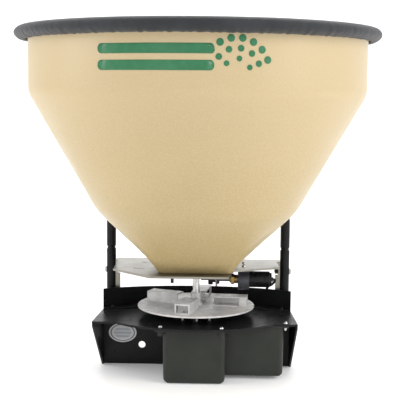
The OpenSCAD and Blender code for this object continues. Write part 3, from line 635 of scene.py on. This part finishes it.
def make_lead():
    """The actuator's lead, held along its route from the can's end to the deck."""
    route = [(0.1442, 0.040, 0.169), (0.1482, 0.040, 0.169), (0.1505, 0.0425, 0.1675),
             (0.150, 0.049, 0.163), (0.147, 0.059, 0.157), (0.144, 0.070, 0.152),
             (0.140, 0.080, 0.148), (0.1365, 0.089, 0.140),
             (0.135, 0.093, 0.130), (0.135, 0.094, 0.120), (0.135, 0.094, 0.112)]
    o = tube_curve("lead_sheath", through(route, 8), 0.0025, M["black_rubber"], "frame")
    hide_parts("actuator_lead")


def make_hoop():
    """The hoop round the back of the hopper: one bent tube with a spigot neck over each upright."""
    bend, hoop_z = 0.020, 0.294
    hoop_r = math.sqrt(LEG_X ** 2 + LEG_Y ** 2 - bend ** 2)
    start = math.atan2(LEG_Y, LEG_X) + math.atan2(bend, hoop_r)
    half = [(LEG_X, LEG_Y, LEG_TOP + NECK - 0.0002), (LEG_X, LEG_Y, 0.262)]
    for i in range(17):
        f = math.pi / 2 * i / 16
        k = bend * (1 - math.cos(f))
        half.append((LEG_X - k * math.sin(start), LEG_Y + k * math.cos(start),
                     hoop_z - bend + bend * math.sin(f)))
    for i in range(1, 49):
        f = start + (math.pi / 2 - start) * i / 48
        half.append((hoop_r * math.cos(f), hoop_r * math.sin(f), hoop_z))
    whole = half + [(-x, y, z) for x, y, z in reversed(half[:-1])]
    o = tube_curve("hoop_tube", whole, TUBE_R, M["black_coat"], "frame")
    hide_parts("cradle_hoop")
    neck = [(0.0002, -0.020), (0.00725, -0.020), (0.00725, 0.0), (0.0087, 0.0), (0.00925, 0.0006),
            (0.00905, 0.0014), (0.0078, 0.0036), (0.0076, 0.0042), (0.0078, 0.0048), (0.0088, 0.0076),
            (0.0088, 0.0095), (0.0002, 0.0095)]
    for side, label in ((1, "right"), (-1, "left")):
        cols = 48
        verts = [
            (side * LEG_X + r * math.cos(TAU * i / cols), LEG_Y + r * math.sin(TAU * i / cols), LEG_TOP + z)
            for r, z in neck for i in range(cols)
        ]
        faces = grid_faces(len(neck), cols)
        faces.append(tuple(reversed(range(cols))))
        faces.append(tuple((len(neck) - 1) * cols + i for i in range(cols)))
        p = add_object("hoop_neck_" + label, verts, faces, [M["black_coat"]], "frame", smooth=False)
        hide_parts("cradle_hoop")


make_lead()
make_hoop()


# ---------------------------------------------------------------- decal


def make_decal():
    """A plain green mark on the hopper's band: two rounded bars and a fan of dots."""
    r0 = 0.31025
    verts, faces = [], []

    def patch(outline):
        """A closed outline in (distance round the band, height), laid on the band."""
        cx = sum(p[0] for p in outline) / len(outline)
        cz = sum(p[1] for p in outline) / len(outline)
        start = len(verts)
        steps = 6
        count = len(outline)
        for s in range(1, steps + 1):
            t = s / steps
            for x, z in outline:
                px, pz = cx + (x - cx) * t, cz + (z - cz) * t
                a = -math.pi / 2 + px / BAND_R
                verts.append(polar(r0, a, pz))
        mid = len(verts)
        verts.append(polar(r0, -math.pi / 2 + cx / BAND_R, cz))
        for s in range(steps - 1):
            for i in range(count):
                j = (i + 1) % count
                a0 = start + s * count
                faces.append((a0 + i, a0 + count + i, a0 + count + j, a0 + j))
        for i in range(count):
            faces.append((mid, start + i, start + (i + 1) % count))

    def bar(x0, x1, z0, z1, r):
        pts = []
        corners = (
            (x1 - r, z0 + r, -90), (x1 - r, z1 - r, 0), (x0 + r, z1 - r, 90), (x0 + r, z0 + r, 180)
        )
        for cx, cz, a0 in corners:
            for k in range(9):
                a = math.radians(a0 + 90 * k / 8)
                pts.append((cx + r * math.cos(a), cz + r * math.sin(a)))
        dense = []
        for i, p in enumerate(pts):
            q = pts[(i + 1) % len(pts)]
            n = max(1, int(math.hypot(q[0] - p[0], q[1] - p[1]) / 0.008))
            dense += [(p[0] + (q[0] - p[0]) * j / n, p[1] + (q[1] - p[1]) * j / n) for j in range(n)]
        patch(dense)

    bar(-0.156, 0.036, 0.586, 0.602, 0.007)
    bar(-0.156, 0.036, 0.560, 0.576, 0.007)
    for ring, count, size in ((0.022, 3, 0.0045), (0.038, 5, 0.0052), (0.054, 7, 0.006)):
        for k in range(count):
            a = math.radians(22 + 118 * k / (count - 1))
            x, z = 0.072 + ring * math.cos(a), 0.557 + ring * math.sin(a)
            patch([
                (x + size * math.cos(TAU * j / 20), z + size * math.sin(TAU * j / 20))
                for j in range(20)
            ])
    o = add_object("decal_mark", verts, faces, [M["decal_green"]], "frame")
    thick = o.modifiers.new("film", "SOLIDIFY")
    thick.thickness = 0.0002
    thick.offset = 1
    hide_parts("hopper_decal")


make_decal()


# ---------------------------------------------------------------- stage


def emit(name, size, place, aim, power):
    """An area light aimed at a point."""
    data = bpy.data.lights.new(name, "AREA")
    data.shape = "RECTANGLE"
    data.size, data.size_y = size
    data.energy = power
    o = bpy.data.objects.new(name, data)
    bpy.context.scene.collection.objects.link(o)
    o.location = place
    o.rotation_euler = (Vector(aim) - Vector(place)).to_track_quat("-Z", "Y").to_euler()


def make_stage():
    wall_y, bend, wide, deep = 2.6, 0.9, 7.0, 5.0
    prof = [(-deep, 0.0)]
    for k in range(25):
        a = math.pi / 2 * k / 24
        prof.append((wall_y - bend + bend * math.sin(a), bend - bend * math.cos(a)))
    prof.append((wall_y, 4.5))
    verts = [(x, y, z) for y, z in prof for x in (-wide, wide)]
    faces = [(2 * i, 2 * i + 1, 2 * i + 3, 2 * i + 2) for i in range(len(prof) - 1)]
    me = bpy.data.meshes.new("floor")
    me.from_pydata(verts, [], faces)
    me.polygons.foreach_set("use_smooth", [True] * len(me.polygons))
    floor = Mat("floor_paper", (0.93, 0.93, 0.93), 0.9)
    floor.mottle(3, (0.95, 0.95, 0.95))
    floor.bsdf.inputs["Emission Color"].default_value = (1, 1, 1, 1)
    floor.bsdf.inputs["Emission Strength"].default_value = 0.14
    me.materials.append(floor.m)
    o = bpy.data.objects.new("floor", me)
    bpy.context.scene.collection.objects.link(o)
    world = bpy.data.worlds.new("studio")
    world.use_nodes = True
    world.node_tree.nodes["Background"].inputs[0].default_value = (1.0, 1.0, 1.0, 1)
    world.node_tree.nodes["Background"].inputs[1].default_value = 0.75
    bpy.context.scene.world = world
    emit("key", (1.4, 1.8), (2.3, -1.2, 1.6), (0, 0, 0.45), 40)
    emit("fill", (1.4, 1.8), (-2.4, -0.6, 1.4), (0, 0, 0.45), 26)
    emit("strip", (0.5, 1.8), (-1.0, -3.1, 1.7), (0, 0, 0.5), 9)
    emit("back", (2.4, 1.2), (0.0, 1.7, 2.4), (0, 0, 0.4), 30)
    bpy.context.scene.view_settings.view_transform = "Standard"
    bpy.context.scene.view_settings.look = "None"


make_stage()
